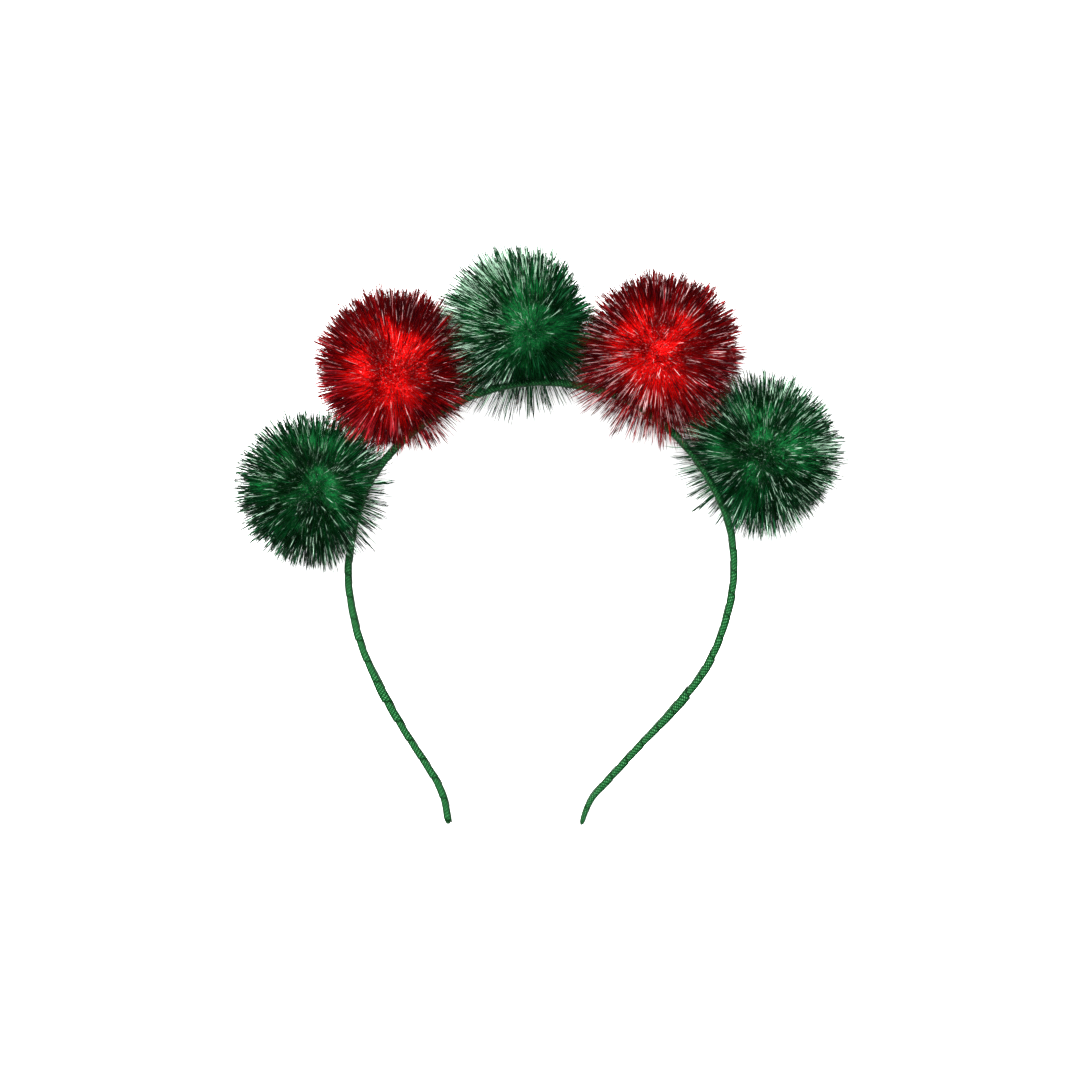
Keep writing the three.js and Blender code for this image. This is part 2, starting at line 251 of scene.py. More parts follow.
def new_tree(name, inputs):
    """An empty geometry tree with named inputs, given as {name: socket type}."""
    tree = bpy.data.node_groups.new(name, "GeometryNodeTree")
    tree.interface.new_socket("Geometry", in_out="INPUT", socket_type="NodeSocketGeometry")
    tree.interface.new_socket("Geometry", in_out="OUTPUT", socket_type="NodeSocketGeometry")
    for label, kind in inputs.items():
        tree.interface.new_socket(label, in_out="INPUT", socket_type=kind)
    return tree, tree.nodes.new("NodeGroupInput").outputs


def run_tree(carrier, tree, values, name):
    """The tree's result on the carrier as a plain mesh object, with the modifier gone."""
    modifier = carrier.modifiers.new(tree.name, "NODES")
    modifier.node_group = tree
    identifiers = {item.name: item.identifier for item in tree.interface.items_tree if item.in_out == "INPUT"}
    for label, value in values.items():
        modifier[identifiers[label]] = value
    carrier.update_tag()
    evaluated = carrier.evaluated_get(bpy.context.evaluated_depsgraph_get())
    mesh = bpy.data.meshes.new_from_object(evaluated)
    carrier.modifiers.remove(modifier)
    return in_scene(name, mesh)


# %% [markdown]
# ## Finishes
# Satin ribbon is finely ribbed, and its raised threads are painted pale as a painted sheen, over painted
# shade in the grooves. Two sets of waves on the ribbon's own UV map, turned to either side and multiplied,
# make that weave.
# The map also says how far round the strip and how far across the ribbon a point lies, so the same material
# paints shade into the corners of the strip and a painted shadow along the lap of each seam. Painted shade is
# needed because the light on the table is almost without shadows.
# Foil tinsel is bright metal film: a real strand is pale where it mirrors the light and almost black where it
# doesn't. Here that is painted reflection in the base colour, carried by attributes that the node tree
# writes.
# "along" runs from 0 at a strand's root to 1 at its tip, "tone" is one number for each strand that picks its
# painted reflection from black to lit, "glint" is 1 on the strands that get a painted glint, and "light" is
# painted light, how much paler one side of a pompom is. A strand starts in the colour of the pile and ends
# dark, with painted shade towards its tip.
# Between the strands shows a soft short pile of the same colour. It is matt, in paler and darker patches at
# random, made paler on one side by painted light and darker towards its roots by painted shade, with specks
# of painted sparkle.

# %% Helpers for materials


def grey(level):
    return (level,) * 3


BLACK, WHITE = grey(0), grey(1)


def new_material(name):
    material = bpy.data.materials.new(name)
    material.use_nodes = True
    tree = material.node_tree
    return material, tree, tree.nodes["Principled BSDF"]


def set_surface(shader, roughness, specular, metallic=0.0):
    shader.inputs["Roughness"].default_value = roughness
    shader.inputs["Specular IOR Level"].default_value = specular
    shader.inputs["Metallic"].default_value = metallic


def colour_ramp(tree, factor, stops):
    """A colour ramp through (place, colour) stops."""
    made = add_node(tree, "ShaderNodeValToRGB", {"Fac": factor})
    ramp = made.color_ramp
    while len(ramp.elements) < len(stops):
        ramp.elements.new(0.5)
    for element, (place, colour) in zip(ramp.elements, stops):
        element.position = place
        element.color = (*colour, 1)
    return made.outputs["Color"]


def blend_colours(tree, factor, first, second):
    made = add_node(tree, "ShaderNodeMix", data_type="RGBA")
    for index, value in ((0, factor), (6, first), (7, second)):
        if isinstance(value, bpy.types.NodeSocket):
            tree.links.new(value, made.inputs[index])
        else:
            made.inputs[index].default_value = value if index == 0 else (*value, 1)
    return made.outputs[2]


# %% Sizes of the strip and of the ribbon wound on it
STRIP_THICKNESS = 1.1 * MM
STRIP_WIDTH = 4.6 * MM
RIBBON_BUILD = 0.5 * MM  # from the strip to the outside of the winding
RIBBON_ROUND = 2 * (STRIP_THICKNESS + STRIP_WIDTH + 2 * RIBBON_BUILD)  # once round the winding
print("once round the winding in mm:", round(RIBBON_ROUND / MM, 1))

# %% Satin ribbon
RIB_PITCH = 0.66 * MM
RIB_TURNS = (35, -40)  # degrees
RIB_HEIGHT = 0.12 * MM
WAVE_REPEAT = 0.314  # from one band of a wave texture to the next, at scale 1
SEAM_SHADOW = 0.9 * MM
# The deepest green is painted shade, in the grooves of the weave, the corners of the strip and along the
# laps; the palest green is a painted sheen on the raised threads.
RIBBON_PAINTED_SHADE = (0.0004, 0.008, 0.0015)
RIBBON_PLAIN = (0.0026, 0.044, 0.0095)
RIBBON_PAINTED_SHEEN = (0.045, 0.14, 0.06)
CORNER_SHADE = [(0.05, 0), (0.14, 0.8), (0.45, 0.7), (0.8, 0.15)]  # from a wide face to a narrow one


def ribs(tree, cloth, degrees):
    """Fine waves across the ribbon, turned by so many degrees."""
    turned = add_node(tree, "ShaderNodeMapping", {"Vector": cloth, "Rotation": (0, 0, math.radians(degrees))})
    wave = {"Vector": turned.outputs[0], "Scale": WAVE_REPEAT / RIB_PITCH, "Distortion": 2.6, "Detail": 2}
    return add_node(tree, "ShaderNodeTexWave", wave).outputs["Fac"]


def ribbon_shade(tree, cloth):
    """How dark the corners of the strip and the lap along each seam are, from 0 to 1."""
    where = add_node(tree, "ShaderNodeSeparateXYZ", {0: cloth}).outputs
    round_it = maths(tree, "COSINE", maths(tree, "MULTIPLY", where["X"], 2 * math.tau / RIBBON_ROUND))
    to_side = maths(tree, "MULTIPLY_ADD", round_it, 0.5, 0.5)
    corner = colour_ramp(tree, to_side, [(place, grey(level)) for place, level in CORNER_SHADE])
    lap = colour_ramp(tree, maths(tree, "DIVIDE", where["Y"], SEAM_SHADOW), [(0.4, WHITE), (1, BLACK)])
    return maths(tree, "MAXIMUM", corner, lap)


def satin_ribbon():
    material, tree, shader = new_material("satin_ribbon")
    cloth = add_node(tree, "ShaderNodeUVMap", uv_map="cloth").outputs["UV"]
    threads = maths(tree, "MULTIPLY", *(ribs(tree, cloth, degrees) for degrees in RIB_TURNS))
    cloudy = add_node(tree, "ShaderNodeTexNoise", {"Vector": cloth, "Scale": 700, "Detail": 3}).outputs["Fac"]
    raised = maths(tree, "MULTIPLY", threads, maths(tree, "ADD", cloudy, 0.5))
    # The raised threads are painted pale as a painted sheen, and the grooves dark as painted shade.
    stops = [(0.02, RIBBON_PAINTED_SHADE), (0.2, RIBBON_PLAIN), (0.45, RIBBON_PLAIN), (0.95, RIBBON_PAINTED_SHEEN)]
    shaded = blend_colours(tree, ribbon_shade(tree, cloth), colour_ramp(tree, raised, stops), RIBBON_PAINTED_SHADE)
    tree.links.new(shaded, shader.inputs["Base Color"])
    bump = add_node(tree, "ShaderNodeBump", {"Height": threads, "Strength": 0.5, "Distance": RIB_HEIGHT})
    tree.links.new(bump.outputs["Normal"], shader.inputs["Normal"])
    set_surface(shader, roughness=0.45, specular=0.012)
    return material


# %% Colours of the foil
# black, deep, body and lit are the foil painted from shaded to lit, a painted reflection, and black also
# paints shade on the tips. glint is the colour of a painted glint and of the pile's painted sparkle.
# pile_dark, pile and pile_light colour the pile's patches, which painted light makes paler on one side.
FOIL_COLOURS = {
    "green": {
        "black": (0.0004, 0.004, 0.001),
        "deep": (0.0006, 0.016, 0.004),
        "body": (0.002, 0.055, 0.014),
        "lit": (0.03, 0.22, 0.085),
        "glint": (0.6, 0.9, 0.68),
        "pile_dark": (0.0004, 0.014, 0.0022),
        "pile": (0.002, 0.055, 0.010),
        "pile_light": (0.009, 0.16, 0.040),
    },
    "red": {
        "black": (0.018, 0.0006, 0.0012),
        "deep": (0.06, 0.0005, 0.001),
        "body": (0.16, 0.0006, 0.0012),
        "lit": (0.45, 0.02, 0.03),
        "glint": (0.95, 0.6, 0.6),
        "pile_dark": (0.13, 0.0002, 0.0005),
        "pile": (0.34, 0.0004, 0.0008),
        "pile_light": (0.62, 0.004, 0.004),
    },
}
print("foil colours:", list(FOIL_COLOURS))

# %% Foil strands and soft pile
PATCHES = (100, 1.8)  # how fine the patches of the pile are, and how much detail they have
GLEAM_BREAKS = (220, 0.36, 0.44)  # how fine the spots are, and the noise at which one starts and is full
# specks of painted sparkle on the pile
PAINTED_SPARKLE_SPOTS = (1500, 0.66, 0.7)  # the same, for the specks on the pile
PAINTED_SPARKLE_SHARE = 0.35
# how far painted shade darkens a strand towards its tip
TIP_PAINTED_SHADE = 0.65
# how far painted shade darkens the pile towards its roots, and the heart
ROOT_PAINTED_SHADE = 0.45


def grown_attribute(tree, name):
    return add_node(tree, "ShaderNodeAttribute", attribute_name=name).outputs["Fac"]


def named_stops(tint, stops):
    return [(place, tint[name]) for place, name in stops]


def object_noise(tree, scale, detail):
    place = add_node(tree, "ShaderNodeTexCoord").outputs["Object"]
    made = add_node(tree, "ShaderNodeTexNoise", {"Vector": place, "Scale": scale, "Detail": detail})
    return made.outputs["Fac"]


def pile_colour(tree, tint):
    """The soft colour of the pile, in patches."""
    stops = named_stops(tint, [(0.4, "pile_dark"), (0.5, "pile"), (0.6, "pile_light")])
    # The patches differ at random; the light attribute adds painted light, paler on one side of a pompom.
    patches = maths(tree, "ADD", object_noise(tree, *PATCHES), grown_attribute(tree, "light"))
    return colour_ramp(tree, patches, stops)


def fine_speckle(tree, scale, low, high):
    """Small spots in the object's own space, white on black."""
    return colour_ramp(tree, object_noise(tree, scale, 1), [(low, BLACK), (high, WHITE)])


def foil_strands(colour):
    tint = FOIL_COLOURS[colour]
    material, tree, shader = new_material("foil_strands_" + colour)
    along = grown_attribute(tree, "along")
    # The tones are painted reflection: each strand is painted from black, where it would mirror nothing, to
    # lit.
    tones = named_stops(tint, [(0.3, "black"), (0.6, "deep"), (0.88, "body"), (0.98, "lit")])
    strand = colour_ramp(tree, grown_attribute(tree, "tone"), tones)
    foot = colour_ramp(tree, along, [(0.2, WHITE), (0.5, BLACK)])
    # Painted shade: each strand darkens towards its tip.
    tip = colour_ramp(tree, along, [(0.7, BLACK), (0.95, grey(TIP_PAINTED_SHADE))])
    plain = blend_colours(tree, foot, strand, pile_colour(tree, tint))
    dark = blend_colours(tree, tip, plain, tint["black"])
    # Painted glint: a pale colour along the middle of a glinting strand, broken into spots.
    middle = colour_ramp(tree, along, [(0.2, BLACK), (0.35, WHITE), (0.72, WHITE), (0.88, BLACK)])
    broken = maths(tree, "MULTIPLY", middle, fine_speckle(tree, *GLEAM_BREAKS))
    gleam = maths(tree, "MULTIPLY", broken, grown_attribute(tree, "glint"))
    tree.links.new(blend_colours(tree, gleam, dark, tint["glint"]), shader.inputs["Base Color"])
    set_surface(shader, roughness=0.35, specular=0.03, metallic=0.5)
    return material


def soft_pile(colour):
    tint = FOIL_COLOURS[colour]
    material, tree, shader = new_material("soft_pile_" + colour)
    # Painted shade: the pile is darker towards its roots, and so is the heart, which has no along.
    root = colour_ramp(tree, grown_attribute(tree, "along"), [(0.0, grey(ROOT_PAINTED_SHADE)), (0.5, BLACK)])
    soft = blend_colours(tree, root, pile_colour(tree, tint), tint["deep"])
    # Painted sparkle: small pale specks of the glint colour on the pile.
    painted_sparkle = maths(tree, "MULTIPLY", fine_speckle(tree, *PAINTED_SPARKLE_SPOTS), PAINTED_SPARKLE_SHARE)
    tree.links.new(blend_colours(tree, painted_sparkle, soft, tint["glint"]), shader.inputs["Base Color"])
    set_surface(shader, roughness=0.9, specular=0.03)
    return material


ribbon_finish = satin_ribbon()
strand_finish = {colour: foil_strands(colour) for colour in FOIL_COLOURS}
pile_finish = {colour: soft_pile(colour) for colour in FOIL_COLOURS}
print("finishes:", [material.name for material in bpy.data.materials])

# %% [markdown]
# ## The wound ribbon
# The real band is a flat spring wound with one long ribbon: every turn starts on top of the last one's edge
# and settles onto the strip, so each turn shows as a slanted seam about every 7 mm.
# A tube with painted stripes would have no real edge there. So one turn of ribbon is made as a closed piece
# of cloth on a straight strip, and Geometry Nodes repeat it along the strip and then bend the whole winding
# along the centre line. A few turns are wound loosely and swell, as on the real band.

# %% The section of the band, and a closed sheet of cloth
SECTION_ROUND = 0.5 * MM
ROUNDEST = 0.9  # the largest share of the half thickness that a corner takes


def round_section(share, lift):
    """(out, depth) on a rounded rectangle at a share of the way round it, starting on the head side."""
    half_out, half_depth = STRIP_THICKNESS / 2 + lift, STRIP_WIDTH / 2 + lift
    bend = min(SECTION_ROUND + lift, ROUNDEST * half_out)
    flat_out, flat_depth = half_out - bend, half_depth - bend
    corner, narrow, wide = math.pi / 2 * bend, 2 * flat_out, 2 * flat_depth
    legs = [flat_depth, corner, narrow, corner, wide, corner, narrow, corner, flat_depth]
    way = (share % 1) * sum(legs)
    for leg, length in enumerate(legs):
        if way <= length or leg == len(legs) - 1:
            break
        way -= length
    if leg % 2:
        middles = [(-flat_out, flat_depth), (flat_out, flat_depth)]
        middles += [(flat_out, -flat_depth), (-flat_out, -flat_depth)]
        middle = middles[leg // 2]
        angle = math.pi - (leg // 2) * math.pi / 2 - way / bend
        return middle[0] + bend * math.cos(angle), middle[1] + bend * math.sin(angle)
    starts = [(-half_out, 0), (-flat_out, half_depth), (half_out, flat_depth)]
    starts += [(flat_out, -half_depth), (-half_out, -flat_depth)]
    steps = [(0, 1), (1, 0), (0, -1), (-1, 0), (0, 1)]
    start, step = starts[leg // 2], steps[leg // 2]
    return start[0] + way * step[0], start[1] + way * step[1]


def closed_sheet(rows, columns, place):
    """Points and faces of a closed sheet of cloth; place(row, column, side) puts a point, side 1 outside."""
    points = [
        place(r / rows, c / columns, side)
        for side in (1, 0) for r in range(rows + 1) for c in range(columns + 1)
    ]
    across, layer = columns + 1, (rows + 1) * (columns + 1)
    faces = []
    for r in range(rows):
        for c in range(columns):
            quad = [r * across + c, r * across + c + 1, (r + 1) * across + c + 1, (r + 1) * across + c]
            faces += [quad, [layer + i for i in reversed(quad)]]
    rim = list(range(columns)) + [r * across + columns for r in range(rows)]
    rim += [rows * across + c for c in range(columns, 0, -1)] + [r * across for r in range(rows, 0, -1)]
    for here, following in zip(rim, rim[1:] + rim[:1]):
        faces.append([following, here, layer + here, layer + following])
    return points, faces


# %% One turn of ribbon on a straight strip
LAP_STEP = 0.2 * MM
RIBBON_CLOTH = 0.2 * MM
WINDING_PITCH = 7.2 * MM
RIBBON_OVERLAP = 1.1 * MM
EDGE_SINK = 0.03 * MM  # how far the edge dips that the next turn lies on
TURN_SWELL = 0.06 * MM
FOLD_LENGTH = 6.4 * MM
FOLD_NOSE = 1.8 * MM
BODY_GAP = 0.3 * MM
TURN_STEPS, TURN_ROWS = 30, 5

wound_length = band_length - 2 * (FOLD_LENGTH + BODY_GAP)
turn_count = round(wound_length / WINDING_PITCH)
pitch = wound_length / turn_count


def one_turn():
    """One turn of ribbon along X, with Y away from the head and Z the depth."""
    width = pitch + RIBBON_OVERLAP

    def place(row, column, side):
        across = row * width
        settled = min(across / pitch, 1)
        dip = EDGE_SINK * max(across - pitch, 0) / RIBBON_OVERLAP
        lift = RIBBON_BUILD + LAP_STEP * (1 - settled) - dip
        swell = TURN_SWELL * math.sin(math.pi * settled)
        out, depth = round_section(column, lift + swell - (1 - side) * RIBBON_CLOTH)
        return (column * pitch + across - pitch, out, depth)

    points, faces = closed_sheet(TURN_ROWS, TURN_STEPS, place)
    mesh = bpy.data.meshes.new("one_turn")
    mesh.from_pydata(points, [], faces)
    layer = mesh.uv_layers.new(name="cloth")
    per_side = (TURN_ROWS + 1) * (TURN_STEPS + 1)
    for loop in mesh.loops:
        row, column = divmod(loop.vertex_index % per_side, TURN_STEPS + 1)
        layer.data[loop.index].uv = (column / TURN_STEPS * RIBBON_ROUND, row / TURN_ROWS * width)
    return facing_out(in_scene("one_turn", mesh))


turn_piece = one_turn()
print(turn_count, "turns of", round(pitch / MM, 2), "mm,", triangle_count(turn_piece), "triangles each")

# %% Where each turn stands, and how loosely it is wound
LOOSE_TURNS = [  # along the band as a share of its length, how much looser than the rest
    (0.146, 0.28), (0.118, 0.12), (0.201, 0.1), (0.845, 0.12), (0.872, 0.3), (0.905, 0.14), (0.784, 0.1),
]
LOOSENESS = 0.05  # the most that any turn swells by chance
WINDING_SEED = 7


def winding_marks():
    """A point for each turn on a straight line, with how much the turn swells."""
    chance = np.random.default_rng(WINDING_SEED)
    starts = FOLD_LENGTH + BODY_GAP + pitch * np.arange(turn_count)
    swell = 1 + LOOSENESS * chance.random(turn_count)
    for along, extra in LOOSE_TURNS:
        swell[int((along * band_length - FOLD_LENGTH) / pitch)] += extra
    mesh = bpy.data.meshes.new("winding_marks")
    mesh.from_pydata([(x, 0, 0) for x in starts], [], [])
    mesh.attributes.new("swell", "FLOAT", "POINT").data.foreach_set("value", swell)
    return in_scene("winding_marks", mesh)


def centre_curve():
    curve = bpy.data.curves.new("centre_curve", "CURVE")
    curve.dimensions = "3D"
    spline = curve.splines.new("POLY")
    spline.points.add(len(line_points) - 1)
    for point, (x, y) in zip(spline.points, line_points):
        point.co = (x, y, 0, 1)
    return in_scene("centre_curve", curve)


marks, path = winding_marks(), centre_curve()
print(len(LOOSE_TURNS), "of the turns are wound loosely")

# %% The tree that repeats the turn and bends the winding


def winding_tree():
    tree, given = new_tree("winding", {
        "Turn": "NodeSocketObject", "Path": "NodeSocketObject", "Finish": "NodeSocketMaterial",
    })
    swell = add_node(tree, "GeometryNodeInputNamedAttribute", {"Name": "swell"}, data_type="FLOAT")
    loose = add_node(tree, "ShaderNodeCombineXYZ", {"X": 1.0, "Y": swell.outputs[0], "Z": 1.0})
    turn = add_node(tree, "GeometryNodeObjectInfo", {"Object": given["Turn"]}).outputs["Geometry"]
    turns = add_node(tree, "GeometryNodeInstanceOnPoints", {
        "Points": given["Geometry"], "Instance": turn, "Scale": loose.outputs[0],
    })
    wound = add_node(tree, "GeometryNodeRealizeInstances", {"Geometry": turns.outputs[0]}).outputs[0]
    position = add_node(tree, "GeometryNodeInputPosition").outputs[0]
    here = add_node(tree, "ShaderNodeSeparateXYZ", {0: position}).outputs
    route = add_node(tree, "GeometryNodeObjectInfo", {"Object": given["Path"]}).outputs["Geometry"]
    sample = add_node(tree, "GeometryNodeSampleCurve", {
        "Curves": route, "Length": here["X"],
    }, mode="LENGTH", use_all_curves=True).outputs
    outward = vector_maths(tree, "CROSS_PRODUCT", (0, 0, 1), sample["Tangent"])
    away = scaled(tree, outward, here["Y"])
    deep = add_node(tree, "ShaderNodeCombineXYZ", {"Z": here["Z"]}).outputs[0]
    bent = vector_maths(tree, "ADD", vector_maths(tree, "ADD", sample["Position"], away), deep)
    placed = add_node(tree, "GeometryNodeSetPosition", {"Geometry": wound, "Position": bent}).outputs[0]
    finished = add_node(tree, "GeometryNodeSetMaterial", {"Geometry": placed, "Material": given["Finish"]})
    add_node(tree, "NodeGroupOutput", {"Geometry": finished.outputs[0]})
    return tree


wound_from = {"Turn": turn_piece, "Path": path, "Finish": ribbon_finish}
winding = run_tree(marks, winding_tree(), wound_from, "winding")
winding.data.transform(plane_place)
print("the winding has", triangle_count(winding), "triangles")

# %% The strip inside it, in a first layer of ribbon, which carries the winding from tip to tip
UNDER_LAYER = 0.27 * MM
FLUSH_TURNS = 1.3  # before the right fold, where no next turn covers the last one


def core_lift(distance):
    """How thick the first layer is: nothing under the folds, and flush with the winding at its right end."""
    to_fold = band_length - FOLD_LENGTH - distance
    if 0 < to_fold <= FLUSH_TURNS * pitch:
        return RIBBON_BUILD - EDGE_SINK
    return UNDER_LAYER if distance > FOLD_LENGTH and to_fold > 0 else 0


def swept_core(steps=320, corners=16):
    start, end = FOLD_NOSE + BODY_GAP, band_length - FOLD_NOSE - BODY_GAP
    points, uv = [], []
    for step in range(steps + 1):
        distance = start + (end - start) * step / steps
        lift = core_lift(distance)
        points += [beside_line(distance, *round_section(c / corners, lift)) for c in range(corners)]
        uv += [(c / corners * RIBBON_ROUND, distance) for c in range(corners)]
    return facing_out(piece_from("strip", points, tube_faces(steps + 1, corners), ribbon_finish, uv))


def joined(name, pieces):
    with bpy.context.temp_override(active_object=pieces[0], selected_editable_objects=pieces):
        bpy.ops.object.join()
    pieces[0].name = name
    return pieces[0]


band = joined("wound_band", [winding, swept_core()])
for helper in (turn_piece, marks, path):
    bpy.data.objects.remove(helper)
print("the band has", triangle_count(band), "triangles")

# %% [markdown]
# ## The ribbon ends
# At each tip the ribbon's end is folded lengthwise over the strip, so the last 6 mm are a flat sleeve with a
# crease along it and a rounded nose. Two leaves of cloth would gape there, so the sleeve is one closed skin:
# rings of a squarish oval, which shrink round the nose.
# At the foot of each outer pompom a short end of ribbon sticks up from the winding. It is a sheet of cloth
# that follows a short path in the plane, with edges that wander a little.

# %% A strip of cloth along a path in the plane
CLOTH_ROWS = 8
EDGE_THINNING = 0.45
RIPPLES_PER_MM = 0.8
EDGE_WANDER = 0.04


def cloth_strip(name, path_points, width, cloth, waver):
    """A closed strip along path_points, (x, y) rows, as wide as width in depth and as thick as cloth."""
    line = np.array(path_points)
    ahead = np.gradient(line, axis=0)
    ahead /= np.linalg.norm(ahead, axis=1)[:, None]
    aside = np.column_stack([-ahead[:, 1], ahead[:, 0]])
    steps = len(line) - 1
    way = np.concatenate([[0], np.cumsum(np.linalg.norm(np.diff(line, axis=0), axis=1))])

    def place(row, column, side):
        i = round(column * steps)
        edge = 2 * row - 1
        thick = cloth * (1 - EDGE_THINNING * abs(edge) ** 6)
        ripple = waver * noise.noise(Vector((way[i] / MM * RIPPLES_PER_MM, edge * 1.7, len(name))))
        x, y = line[i] + aside[i] * ((side - 0.5) * thick + ripple)
        depth = edge * width / 2 * (1 - EDGE_WANDER * math.sin(way[i] / MM * 1.9) ** 2)
        return (x, y, depth)

    def cloth_map(point):
        row, column = divmod(point, steps + 1)
        return way[column], row % (CLOTH_ROWS + 1) / CLOTH_ROWS * width

    points, faces = closed_sheet(CLOTH_ROWS, steps, place)
    uv = [cloth_map(point) for point in range(len(points))]
    return facing_out(piece_from(name, points, faces, ribbon_finish, uv))


# %% The fold over each tip
FOLD_WIDTH = 5 * MM
TIP_HALF = 1.12 * MM
TIP_CORNERS = 28
TIP_ROWS = 8
TIP_RIPPLE = 0.05
NOSE_RINGS, NOSE_STEP = 7, 12  # how many rings the nose has, and the degrees from one to the next
SQUARISH = 0.65  # the power that makes the oval squarish
CREASE_DEPTH = 0.1
CREASE_AT, CREASE_SPREAD = 1.7, 0.16  # radians round the section
TIP_FOLDS = [  # name, the end of the band, 1 at its far end and -1 at its start, how wide the very tip is
    ("folded_tip_left", 0, -1, 1), ("folded_tip_right", band_length, 1, 0.72),
]


def squarish(value):
    return math.copysign(abs(value) ** SQUARISH, value)


def tip_rings():
    """(distance from the tip, how full the section is) for each ring."""
    turns = [math.radians(NOSE_STEP * k) for k in range(1, NOSE_RINGS + 1)]
    nose = [(FOLD_NOSE * (1 - math.cos(turn)), math.sin(turn)) for turn in turns]
    return nose + [(FOLD_NOSE + (FOLD_LENGTH - FOLD_NOSE) * k / TIP_ROWS, 1) for k in range(TIP_ROWS + 1)]


def folded_tip(name, end, side, tip_share):
    """The ribbon's end, folded round the strip, with a crease along it and a rounded nose."""
    rings = tip_rings()
    points, uv = [], []
    for within, full in rings:
        share = tip_share + (1 - tip_share) * min(within / FOLD_LENGTH, 1)
        for c in range(TIP_CORNERS):
            angle = math.tau * c / TIP_CORNERS
            crease = CREASE_DEPTH * math.exp(-(((angle % math.pi) - CREASE_AT) / CREASE_SPREAD) ** 2)
            ripple = 1 + TIP_RIPPLE * noise.noise(Vector((within / MM, 2 * angle, len(name))))
            out = -TIP_HALF * share * full * ripple * squarish(math.cos(angle))
            depth = FOLD_WIDTH / 2 * full * (1 - crease) * squarish(math.sin(angle))
            points.append(beside_line(end - side * within, out, depth))
            uv.append((c / TIP_CORNERS * RIBBON_ROUND, FOLD_LENGTH - within))
    return facing_out(piece_from(name, points, tube_faces(len(rings), TIP_CORNERS), ribbon_finish, uv))


tip_folds = [folded_tip(*row) for row in TIP_FOLDS]
print("folds over the tips:", [piece.name for piece in tip_folds])

# %% The loose end at the foot of each outer pompom
LOOSE_END_LENGTH = 5.2 * MM
LOOSE_END_WIDTH = 3.2 * MM
LOOSE_END_CLOTH = 0.8 * MM
LOOSE_END_BOW = 0.5 * MM
LOOSE_END_WAVER = 0.15 * MM
LOOSE_END_STEPS = 12
LOOSE_ENDS = [  # name, share of the band's length, 1 points on and -1 back, degrees away from the limb
    ("ribbon_end_left", 0.249, 1, 12), ("ribbon_end_right", 0.706, -1, 40),
]


def loose_end(name, along, heading, turn):
    foot = STRIP_THICKNESS / 2 + RIBBON_BUILD + LAP_STEP + BODY_GAP + LOOSE_END_CLOTH / 2
    _, tangent, outward = on_line(along * band_length)
    start = np.array(beside_line(along * band_length, foot, 0)[:2])
    ahead = heading * math.cos(math.radians(turn)) * tangent + math.sin(math.radians(turn)) * outward
    across = heading * np.array([-ahead[1], ahead[0]])
    bowed = across * 4 * LOOSE_END_BOW
    shares = [k / LOOSE_END_STEPS for k in range(LOOSE_END_STEPS + 1)]
    path_points = [start + ahead * LOOSE_END_LENGTH * t + bowed * t * (1 - t) for t in shares]
    return cloth_strip("cloth_" + name, path_points, LOOSE_END_WIDTH, LOOSE_END_CLOTH, LOOSE_END_WAVER)


loose_ends = {name: loose_end(name, along, heading, turn) for name, along, heading, turn in LOOSE_ENDS}
print("loose ends:", [piece.name for piece in loose_ends.values()])

# %% [markdown]
# ## The hearts of the pompoms
# A tinsel pompom is a strip of foil fur bunched up and tied into a ball, so under the strands sits a tight
# lumpy heart, as if felted. It carries the strands and shows red or green wherever they part, darkened by
# painted shade as deep in the pile.
# An icosphere pushed in and out by a smooth noise is enough for it, because little of it shows.

# %% Table of the pompoms
STAND_OFF = 20 * MM
# along is a share of the band's length, lift one of STAND_OFF and foil one of the usual number of foil
# strands. sweep is how they are brushed in the plane, shine is where more of them get a painted glint, and
# glints how many do anyway. light is how much paler the whole pompom is, and lit_side points to its side made
# paler with painted light. open_front is how much thinner the foil grows where it faces the viewer, and
# behind.
# skirt is how much further the strands reach behind the band, and overhang how many millimetres they stand
# out over it in front.
POMPOMS = [
    {"name": "left_green", "colour": "green", "along": 0.292, "lift": 0.83, "seed": 11,
     "sweep": (-0.04, 0), "foil": 0.56, "shine": (0.02, 0.02), "glints": 0.13,
     "light": -0.04, "lit_side": (0.03, 0.05), "open_front": 0.3, "skirt": 0.1, "overhang": 1.6},
    {"name": "left_red", "colour": "red", "along": 0.387, "lift": 1, "seed": 23,
     "sweep": (0, 0.08), "foil": 1, "shine": (0.03, 0.02), "glints": 0.05,
     "light": 0.02, "lit_side": (-0.08, -0.1), "open_front": 0.85, "skirt": 0.06, "overhang": 2.5},
    {"name": "centre_green", "colour": "green", "along": 0.472, "lift": 1, "seed": 37,
     "sweep": (-0.14, 0.1), "foil": 0.66, "shine": (-0.3, 0.16), "glints": 0.2,
     "light": 0.0, "lit_side": (0.06, 0), "open_front": 0.3, "skirt": 0.3, "overhang": 0.8},
    {"name": "right_red", "colour": "red", "along": 0.568, "lift": 0.96, "seed": 49,
     "sweep": (0.03, 0.02), "foil": 1, "shine": (-0.02, -0.08), "glints": 0.16,
     "light": 0.04, "lit_side": (-0.03, -0.08), "open_front": 0.8, "skirt": 0.2, "overhang": 3},
    {"name": "right_green", "colour": "green", "along": 0.663, "lift": 1.01, "seed": 58,
     "sweep": (0.02, 0.03), "foil": 0.64, "shine": (0.06, 0.06), "glints": 0.19,
     "light": 0.01, "lit_side": (0, 0), "open_front": 0.3, "skirt": 0.2, "overhang": 0.8},
]


def pompom_centre(row):
    return plane_place @ beside_line(row["along"] * band_length, row["lift"] * STAND_OFF, 0)


print("pompoms:", [row["name"] for row in POMPOMS])

# %% The hearts
FELT_RADIUS = 16 * MM
HEART_MEAN = 0.97  # of the radius
LUMP_FINENESS, LUMP_HEIGHT = 3.1, 0.08
CREASE_FINENESS, CREASE_HEIGHT = 8, 0.03


